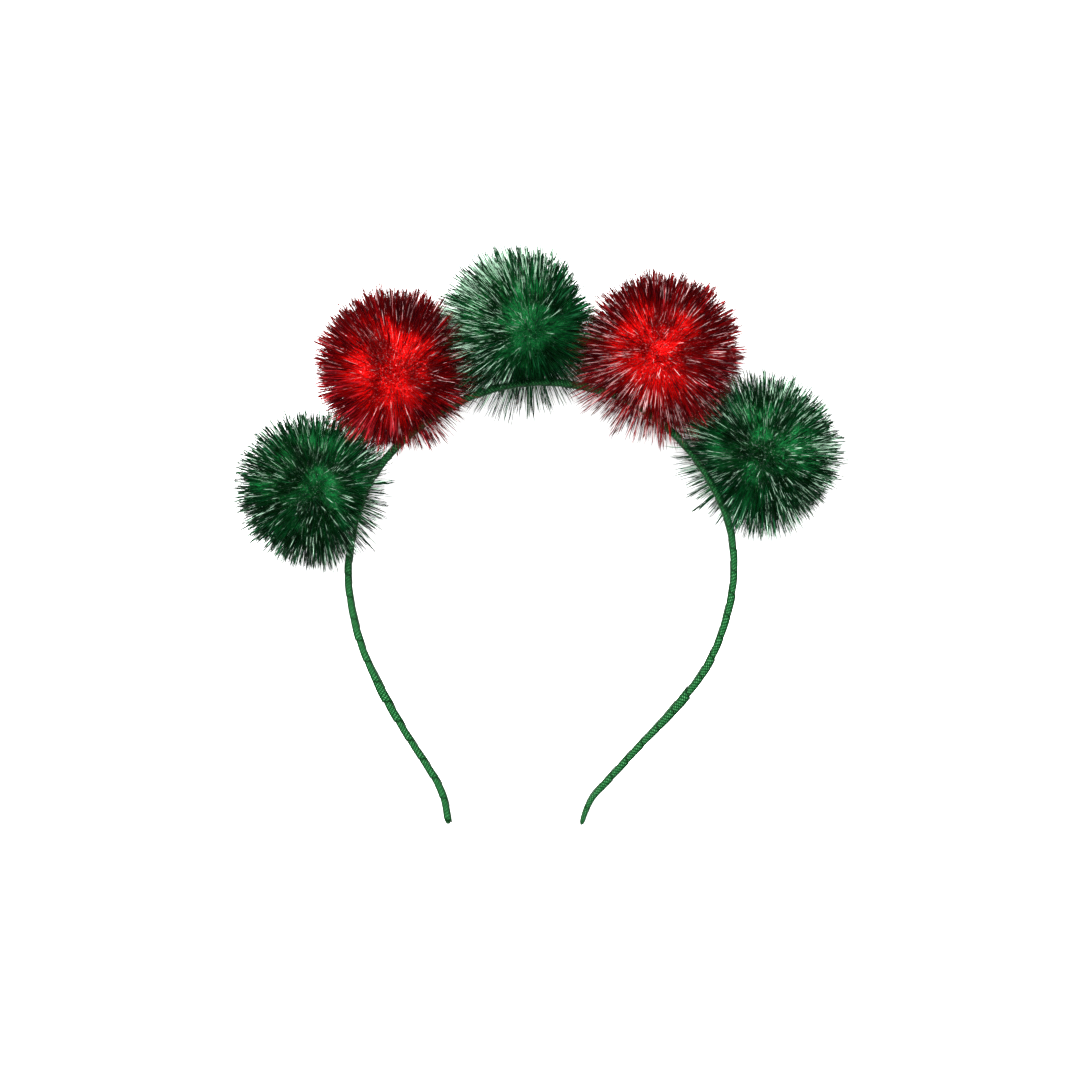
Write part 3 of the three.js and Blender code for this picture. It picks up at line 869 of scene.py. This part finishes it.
def lumpy_heart(row):
    centre = pompom_centre(row)
    work = bmesh.new()
    bmesh.ops.create_icosphere(work, subdivisions=4, radius=FELT_RADIUS)
    for vertex in work.verts:
        direction = vertex.co.normalized()
        lump = noise.noise(direction * LUMP_FINENESS + Vector((row["seed"], 0, 0)))
        crease = noise.noise(direction * CREASE_FINENESS + Vector((0, row["seed"], 0)))
        share = HEART_MEAN + LUMP_HEIGHT * lump + CREASE_HEIGHT * crease
        vertex.co = centre + direction * FELT_RADIUS * share
    mesh = bpy.data.meshes.new("heart_" + row["name"])
    work.to_mesh(mesh)
    work.free()
    mesh.materials.append(pile_finish[row["colour"]])
    return in_scene("heart_" + row["name"], mesh)


hearts = {row["name"]: lumpy_heart(row) for row in POMPOMS}
heart_area = {name: sum(face.area for face in heart.data.polygons) for name, heart in hearts.items()}
print("heart areas in mm2:", {name: round(area / MM**2) for name, area in heart_area.items()})

# %% [markdown]
# ## Strands of foil
# Each pompom holds thousands of foil strands. They stand in locks: strands near each other lean together
# and leave a gap to the next lock, and that makes the ragged outline of tinsel. Thinner wisps stand out past
# them, and under both grows the short pile.
# Hair curves would look right in a render, but they aren't a mesh. So one strand is a thin closed blade of a
# few triangles, and Geometry Nodes plant it all over the heart, more thinly where a pompom is open in front.
# For each strand the tree finds the nearest lock, leans the strand towards it, brushes it, and looks along it
# with a ray: a strand that would run into the band stops short of it. Strands that would pass the table are
# pressed flat just above it, as on a real one.

# %% Surfaces that stop a strand
STRAND_AIR = 0.5 * MM  # between the winding and the strands that it stops
WALL_HEIGHT = 45 * MM
STOP_STEPS, TUBE_CORNERS = 200, 12


def clear_tube():
    """The space of the band, a little fatter than the winding."""
    air = RIBBON_BUILD + LAP_STEP + STRAND_AIR
    points = [
        beside_line(band_length * s / STOP_STEPS, *round_section(c / TUBE_CORNERS, air))
        for s in range(STOP_STEPS + 1) for c in range(TUBE_CORNERS)
    ]
    return piece_from("clear_tube", points, tube_faces(STOP_STEPS + 1, TUBE_CORNERS, False), ribbon_finish)


def front_wall():
    """A wall that stands on the centre line towards the viewer."""
    distances = [band_length * s / STOP_STEPS for s in range(STOP_STEPS + 1)]
    points = [beside_line(distance, 0, depth) for distance in distances for depth in (0, WALL_HEIGHT)]
    faces = [[2 * s, 2 * s + 1, 2 * s + 3, 2 * s + 2] for s in range(STOP_STEPS)]
    return piece_from("front_wall", points, faces, ribbon_finish)


tube, wall = clear_tube(), front_wall()
print("surfaces that stop a strand:", [tube.name, wall.name])

# %% Parts of the tree: random and stored values, the blade, and the table
BLADE_RISE, BLADE_BELLY, BLADE_FLAT = 0.36, 0.8, 0.4  # how far its widest place moves up, how wide, how thick


def random_value(tree, seed, low, high, data_type="FLOAT"):
    limits = {"Min": low, "Max": high, "Seed": seed}
    made = add_node(tree, "FunctionNodeRandomValue", limits, data_type=data_type)
    return next(s for s in made.outputs if s.enabled and not s.is_unavailable)


def store_value(tree, geometry, name, value):
    return add_node(tree, "GeometryNodeStoreNamedAttribute", {
        "Geometry": geometry, "Name": name, "Value": value,
    }, data_type="FLOAT", domain="POINT").outputs[0]


def foil_blade(tree, given, here):
    """One strand along Z: a cone that is pulled out to a belly and bowed."""
    cone = add_node(tree, "GeometryNodeMeshCone", {
        "Vertices": 3, "Side Segments": given["Joints"],
        "Radius Top": 0.0, "Radius Bottom": 1.0, "Depth": 1.0,
    })
    x, y, level = add_node(tree, "ShaderNodeSeparateXYZ", {0: here}).outputs
    bulge = maths(tree, "MULTIPLY", maths(tree, "MULTIPLY", level, maths(tree, "SUBTRACT", 1.0, level)), 4.0)
    height = maths(tree, "ADD", level, maths(tree, "MULTIPLY", bulge, BLADE_RISE))
    widened = maths(tree, "ADD", 1.0, maths(tree, "MULTIPLY", bulge, BLADE_BELLY))
    bow = maths(tree, "MULTIPLY", bulge, given["Bow"])
    shaped = add_node(tree, "ShaderNodeCombineXYZ", {
        "X": maths(tree, "ADD", maths(tree, "MULTIPLY", x, widened), bow),
        "Y": maths(tree, "MULTIPLY", y, widened), "Z": height,
    }).outputs[0]
    marked = store_value(tree, cone.outputs["Mesh"], "along", height)
    return add_node(tree, "GeometryNodeSetPosition", {"Geometry": marked, "Position": shaped}).outputs[0]


def pressed_on_table(tree, geometry, here, softness):
    """The geometry with what would pass the table pressed flat just above it."""
    x, y, z = add_node(tree, "ShaderNodeSeparateXYZ", {0: here}).outputs
    over = maths(tree, "SUBTRACT", z, softness)
    under = maths(tree, "DIVIDE", maths(tree, "MINIMUM", over, 0.0), softness)
    pressed = maths(tree, "MULTIPLY", maths(tree, "EXPONENT", under), softness)
    height = maths(tree, "ADD", pressed, maths(tree, "MAXIMUM", over, 0.0))
    resting = add_node(tree, "ShaderNodeCombineXYZ", {"X": x, "Y": y, "Z": height}).outputs[0]
    return add_node(tree, "GeometryNodeSetPosition", {"Geometry": geometry, "Position": resting}).outputs[0]


# %% The tree that grows strands
FACING_POWER = 1.5  # how closely the thinning keeps to the front
LOCKS_AT_MOST = 1e6  # for each square metre
PULL_SPREAD = (0.4, 1.0)  # shares, from strand to strand, of a lock's pull
CROSSING_SPREAD = (0.1, 1.7)  # of the overhang
STOP_SPREAD = (0.92, 1.0)  # of the way to what stops it
LOCK_TONE = 0.4  # the share of a strand's tone that its lock gives
GLINT_SLIMMER = 0.45
STRAND_INPUTS = {
    "NodeSocketVector": ["Centre", "Sweep", "Shine", "Lit side", "Front", "Inward"],
    "NodeSocketFloat": [
        "Strands per m2", "Reach", "Shortest", "Width", "Bow", "Lock spacing", "Lock pull", "Stray", "Glints",
        "Uneven", "Light", "Thinner in front", "Skirt", "Overhang", "Floor softness",
    ],
    "NodeSocketInt": ["Joints", "Seed"],
    "NodeSocketObject": ["Band", "Wall"],
    "NodeSocketMaterial": ["Finish"],
}


def strands_tree():
    kinds = {label: kind for kind, labels in STRAND_INPUTS.items() for label in labels}
    tree, given = new_tree("strands", kinds)
    seeds = [maths(tree, "ADD", given["Seed"], float(step)) for step in range(8)]
    here = add_node(tree, "GeometryNodeInputPosition").outputs[0]
    upright = vector_maths(tree, "NORMALIZE", vector_maths(tree, "SUBTRACT", here, given["Centre"]))
    to_front = vector_maths(tree, "DOT_PRODUCT", upright, given["Front"])
    facing = maths(tree, "POWER", maths(tree, "ABSOLUTE", to_front), FACING_POWER)
    kept = maths(tree, "SUBTRACT", 1.0, maths(tree, "MULTIPLY", facing, given["Thinner in front"]))
    roots = add_node(tree, "GeometryNodeDistributePointsOnFaces", {
        "Mesh": given["Geometry"], "Density": maths(tree, "MULTIPLY", given["Strands per m2"], kept),
        "Seed": given["Seed"],
    }).outputs["Points"]
    locks = add_node(tree, "GeometryNodeDistributePointsOnFaces", {
        "Mesh": given["Geometry"], "Distance Min": given["Lock spacing"], "Density Max": LOCKS_AT_MOST,
        "Seed": seeds[1],
    }, distribute_method="POISSON").outputs["Points"]
    nearest = add_node(tree, "GeometryNodeSampleNearest", {
        "Geometry": locks, "Sample Position": here,
    }).outputs[0]
    lock_place = add_node(tree, "GeometryNodeSampleIndex", {
        "Geometry": locks, "Value": here, "Index": nearest,
    }, data_type="FLOAT_VECTOR").outputs[0]
    lock_chance = add_node(tree, "GeometryNodeSampleIndex", {
        "Geometry": locks, "Value": random_value(tree, seeds[2], 0.0, 1.0), "Index": nearest,
    }, data_type="FLOAT").outputs[0]

    lock_way = vector_maths(tree, "NORMALIZE", vector_maths(tree, "SUBTRACT", lock_place, given["Centre"]))
    pull = maths(tree, "MULTIPLY", given["Lock pull"], random_value(tree, seeds[3], *PULL_SPREAD))
    to_lock = scaled(tree, vector_maths(tree, "SUBTRACT", lock_way, upright), pull)
    leaned = vector_maths(tree, "ADD", upright, to_lock)
    any_way = random_value(tree, seeds[4], (-1.0,) * 3, (1.0,) * 3, "FLOAT_VECTOR")
    strayed = vector_maths(tree, "ADD", leaned, scaled(tree, any_way, given["Stray"]))
    heading = vector_maths(tree, "NORMALIZE", vector_maths(tree, "ADD", strayed, given["Sweep"]))

    own_length = random_value(tree, seeds[5], given["Shortest"], 1.0)
    lock_swing = maths(tree, "MULTIPLY", maths(tree, "SUBTRACT", lock_chance, 0.5), given["Uneven"])
    lock_length = maths(tree, "ADD", lock_swing, 1.0)
    inward = maths(tree, "MAXIMUM", vector_maths(tree, "DOT_PRODUCT", heading, given["Inward"]), 0.0)
    skirt = maths(tree, "ADD", maths(tree, "MULTIPLY", inward, given["Skirt"]), 1.0)
    shares = maths(tree, "MULTIPLY", maths(tree, "MULTIPLY", own_length, lock_length), skirt)
    tip = scaled(tree, heading, maths(tree, "MULTIPLY", shares, given["Reach"]))
    strand = vector_maths(tree, "SUBTRACT", vector_maths(tree, "ADD", given["Centre"], tip), here)
    length = vector_maths(tree, "LENGTH", strand)
    way = vector_maths(tree, "NORMALIZE", strand)

    crossing = maths(tree, "MULTIPLY", given["Overhang"], random_value(tree, seeds[5], *CROSSING_SPREAD))
    shifted = vector_maths(tree, "SUBTRACT", here, scaled(tree, given["Inward"], crossing))
    for label, source in (("Band", here), ("Wall", shifted)):
        shape = add_node(tree, "GeometryNodeObjectInfo", {"Object": given[label]}).outputs["Geometry"]
        ray = add_node(tree, "GeometryNodeRaycast", {
            "Target Geometry": shape, "Source Position": source, "Ray Direction": way, "Ray Length": length,
        }).outputs
        stopped = maths(tree, "MULTIPLY", ray["Hit Distance"], random_value(tree, seeds[6], *STOP_SPREAD))
        length = add_node(tree, "GeometryNodeSwitch", {
            "Switch": ray["Is Hit"], "False": length, "True": stopped,
        }, input_type="FLOAT").outputs[0]

    # Painted glint: more strands glint on the side that Shine points to, and some anywhere; these also grow
    # slimmer.
    chance = maths(tree, "ADD", vector_maths(tree, "DOT_PRODUCT", heading, given["Shine"]), given["Glints"])
    glint = maths(tree, "LESS_THAN", random_value(tree, seeds[2], 0.0, 1.0), chance)
    # Painted light: light makes the side of a pompom that Lit side points to paler, in the pile and in the
    # strands' tones.
    light = maths(tree, "ADD", given["Light"], vector_maths(tree, "DOT_PRODUCT", upright, given["Lit side"]))
    from_lock = maths(tree, "MULTIPLY", lock_chance, LOCK_TONE)
    own_tone = maths(tree, "MULTIPLY", random_value(tree, seeds[7], 0.0, 1.0), 1 - LOCK_TONE)
    tone = maths(tree, "ADD", maths(tree, "ADD", from_lock, own_tone), light)
    for name, value in (("tone", tone), ("glint", glint), ("light", light)):
        roots = store_value(tree, roots, name, value)

    turned = add_node(tree, "FunctionNodeAlignRotationToVector", {"Vector": way}, axis="Z").outputs[0]
    roll = add_node(tree, "FunctionNodeAxisAngleToRotation", {
        "Axis": (0, 0, 1), "Angle": random_value(tree, seeds[6], 0.0, math.tau),
    }).outputs[0]
    spun = add_node(tree, "FunctionNodeRotateRotation", {
        "Rotation": turned, "Rotate By": roll,
    }, rotation_space="LOCAL").outputs[0]
    slim = maths(tree, "SUBTRACT", 1.0, maths(tree, "MULTIPLY", glint, GLINT_SLIMMER))
    girth = maths(tree, "DIVIDE", maths(tree, "MULTIPLY", given["Width"], slim), math.sqrt(3))
    flat = maths(tree, "MULTIPLY", girth, BLADE_FLAT)
    size = add_node(tree, "ShaderNodeCombineXYZ", {"X": girth, "Y": flat, "Z": length}).outputs[0]
    planted = add_node(tree, "GeometryNodeInstanceOnPoints", {
        "Points": roots, "Instance": foil_blade(tree, given, here), "Rotation": spun, "Scale": size,
    }).outputs[0]
    grown = add_node(tree, "GeometryNodeRealizeInstances", {"Geometry": planted}).outputs[0]
    rested = pressed_on_table(tree, grown, here, given["Floor softness"])
    finished = add_node(tree, "GeometryNodeSetMaterial", {"Geometry": rested, "Material": given["Finish"]})
    add_node(tree, "NodeGroupOutput", {"Geometry": finished.outputs[0]})
    return tree


strands = strands_tree()
print("the tree that grows strands has", len(strands.nodes), "nodes")

# %% Grow the foil and the pile of each pompom
REACH = {"green": 25.4 * MM, "red": 26.4 * MM}  # of the dense part, from the pompom's centre
FOIL_PAST, WISPS_PAST = 2.2 * MM, 3.6 * MM  # how far the longest reach past it
PILE_REACH = 20.5 * MM
FLOOR_SOFTNESS = 2.5 * MM
SEEDS_APART = 100
GROWTH = {  # how many strands, and how the tree grows them
    "foil": (8600, {
        "Shortest": 0.84, "Uneven": 0.16, "Width": 0.28 * MM, "Joints": 2, "Bow": 1.5,
        "Lock spacing": 1.7 * MM, "Lock pull": 0.6, "Stray": 0.05,
    }),
    "wisps": (3600, {
        "Shortest": 0.82, "Uneven": 0.2, "Width": 0.24 * MM, "Joints": 1, "Bow": 2.0,
        "Lock spacing": 2.4 * MM, "Lock pull": 0.3, "Stray": 0.13,
    }),
    "pile": (25000, {
        "Shortest": 0.86, "Uneven": 0.12, "Width": 0.5 * MM, "Joints": 1, "Bow": 0.0,
        "Lock spacing": 3 * MM, "Lock pull": 0.0, "Stray": 0.22,
    }),
}


def grown_pompom(row):
    heart, colour = hearts[row["name"]], row["colour"]
    turn = plane_place.to_3x3()
    outward = on_line(row["along"] * band_length)[2]
    in_plane = {"Sweep": row["sweep"], "Shine": row["shine"], "Lit side": row["lit_side"], "Inward": -outward}
    foil = {"Skirt": row["skirt"], "Finish": strand_finish[colour], "Thinner in front": row["open_front"]}
    own = {
        "foil": {"Reach": REACH[colour] + FOIL_PAST, **foil},
        "wisps": {"Reach": REACH[colour] + WISPS_PAST, **foil},
        "pile": {"Reach": PILE_REACH, "Skirt": 0.0, "Finish": pile_finish[colour], "Thinner in front": 0.0},
    }
    shared = {
        **{label: turn @ Vector((*direction, 0)) for label, direction in in_plane.items()},
        "Centre": pompom_centre(row), "Front": turn @ Vector((0, 0, 1)), "Glints": row["glints"],
        "Light": row["light"], "Overhang": row["overhang"] * MM, "Band": tube, "Wall": wall,
        "Floor softness": FLOOR_SOFTNESS,
    }
    grown = []
    for index, (kind, (count, settings)) in enumerate(GROWTH.items()):
        values = {**shared, **settings, **own[kind]}
        count *= row["foil"] if kind != "pile" else 1
        values["Strands per m2"] = count / heart_area[row["name"]]
        values["Seed"] = row["seed"] + SEEDS_APART * index
        grown.append(run_tree(heart, strands, values, kind))
    return joined("tinsel_" + row["name"], [*grown, heart])


tinsel = {row["name"]: grown_pompom(row) for row in POMPOMS}
for helper in (tube, wall):
    bpy.data.objects.remove(helper)
print("triangles:", {name: triangle_count(piece) for name, piece in tinsel.items()})

# %% [markdown]
# ## Tie the pieces to the solid model
# Nothing on this headband moves by itself, so every piece rides on its one body. Each one stands for the
# plain solid that it covers.

# %% Ride and replace
[body] = frame["bodies"]
stands_for = [(band, "headband", "wound_band"), (tip_folds[0], "tip_fold_left", "ribbon")]
stands_for += [(tip_folds[1], "tip_fold_right", "ribbon")]
stands_for += [(piece, name, "ribbon") for name, piece in loose_ends.items()]
stands_for += [(tinsel[row["name"]], "pompom_" + row["name"], row["colour"] + "_tinsel") for row in POMPOMS]
for piece, node_name, slot_name in stands_for:
    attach(piece, body)
    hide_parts(node_name)
print("added triangles:", sum(triangle_count(piece) for piece, _, _ in stands_for))

# %% [markdown]
# ## Floor, light and camera
# The headband lies on a plain white table, seen from straight over its own plane through a long lens. Large
# soft lamps and a bright sky keep the table white. A smaller lamp gives the foil something to glint at.

# %% The table
FLOOR_HALF = 1.6
FLOOR_WHITE = 0.93


def pale_floor():
    mesh = bpy.data.meshes.new("table")
    corners = [(x * FLOOR_HALF, y * FLOOR_HALF, 0) for x, y in ((-1, -1), (1, -1), (1, 1), (-1, 1))]
    mesh.from_pydata(corners, [], [(0, 1, 2, 3)])
    material, _, shader = new_material("white_table")
    shader.inputs["Base Color"].default_value = (*grey(FLOOR_WHITE), 1)
    shader.inputs["Roughness"].default_value = 0.9
    mesh.materials.append(material)
    floor = in_scene("table", mesh)
    return floor


table = pale_floor()
print("the", table.name, "is", 2 * FLOOR_HALF, "m wide")

# %% Lamps
LAMPS = [  # name, place in metres, size in metres, watts
    ("softbox_above", (0.0, 0.1, 1.3), 1.4, 55),
    ("softbox_left", (-0.9, 0.7, 0.8), 0.6, 55),
    ("small_key", (-0.35, 0.45, 0.9), 0.12, 13),
]
SKY_STRENGTH = 1.45


def add_lamp(name, place, size, watts):
    lamp = bpy.data.lights.new(name, "AREA")
    lamp.size = size
    lamp.energy = watts
    piece = in_scene(name, lamp)
    piece.location = place
    piece.rotation_euler = (-Vector(place)).to_track_quat("-Z", "Y").to_euler()


for lamp in LAMPS:
    add_lamp(*lamp)
world = bpy.data.worlds.new("studio")
bpy.context.scene.world = world
world.use_nodes = True
sky = world.node_tree.nodes["Background"].inputs
sky["Color"].default_value = (1, 1, 1, 1)
sky["Strength"].default_value = SKY_STRENGTH
bpy.context.scene.view_settings.view_transform = "Standard"
print("lamps:", [name for name, *_ in LAMPS])

# %% Camera
VIEW_WIDTH = 346 * MM
VIEW_MIDDLE = Vector((-2.6, -48.85, 0)) * MM
CAMERA_DISTANCE = 1.5


def add_camera():
    made = in_scene("camera", bpy.data.cameras.new("camera"))
    made.data.lens = made.data.sensor_width * CAMERA_DISTANCE / VIEW_WIDTH
    made.data.clip_start, made.data.clip_end = 0.1, 20
    made.matrix_world = plane_place @ Matrix.Translation(VIEW_MIDDLE + Vector((0, 0, CAMERA_DISTANCE)))
    bpy.context.scene.camera = made
    return made


camera = add_camera()
print("the camera's lens in mm:", round(camera.data.lens))
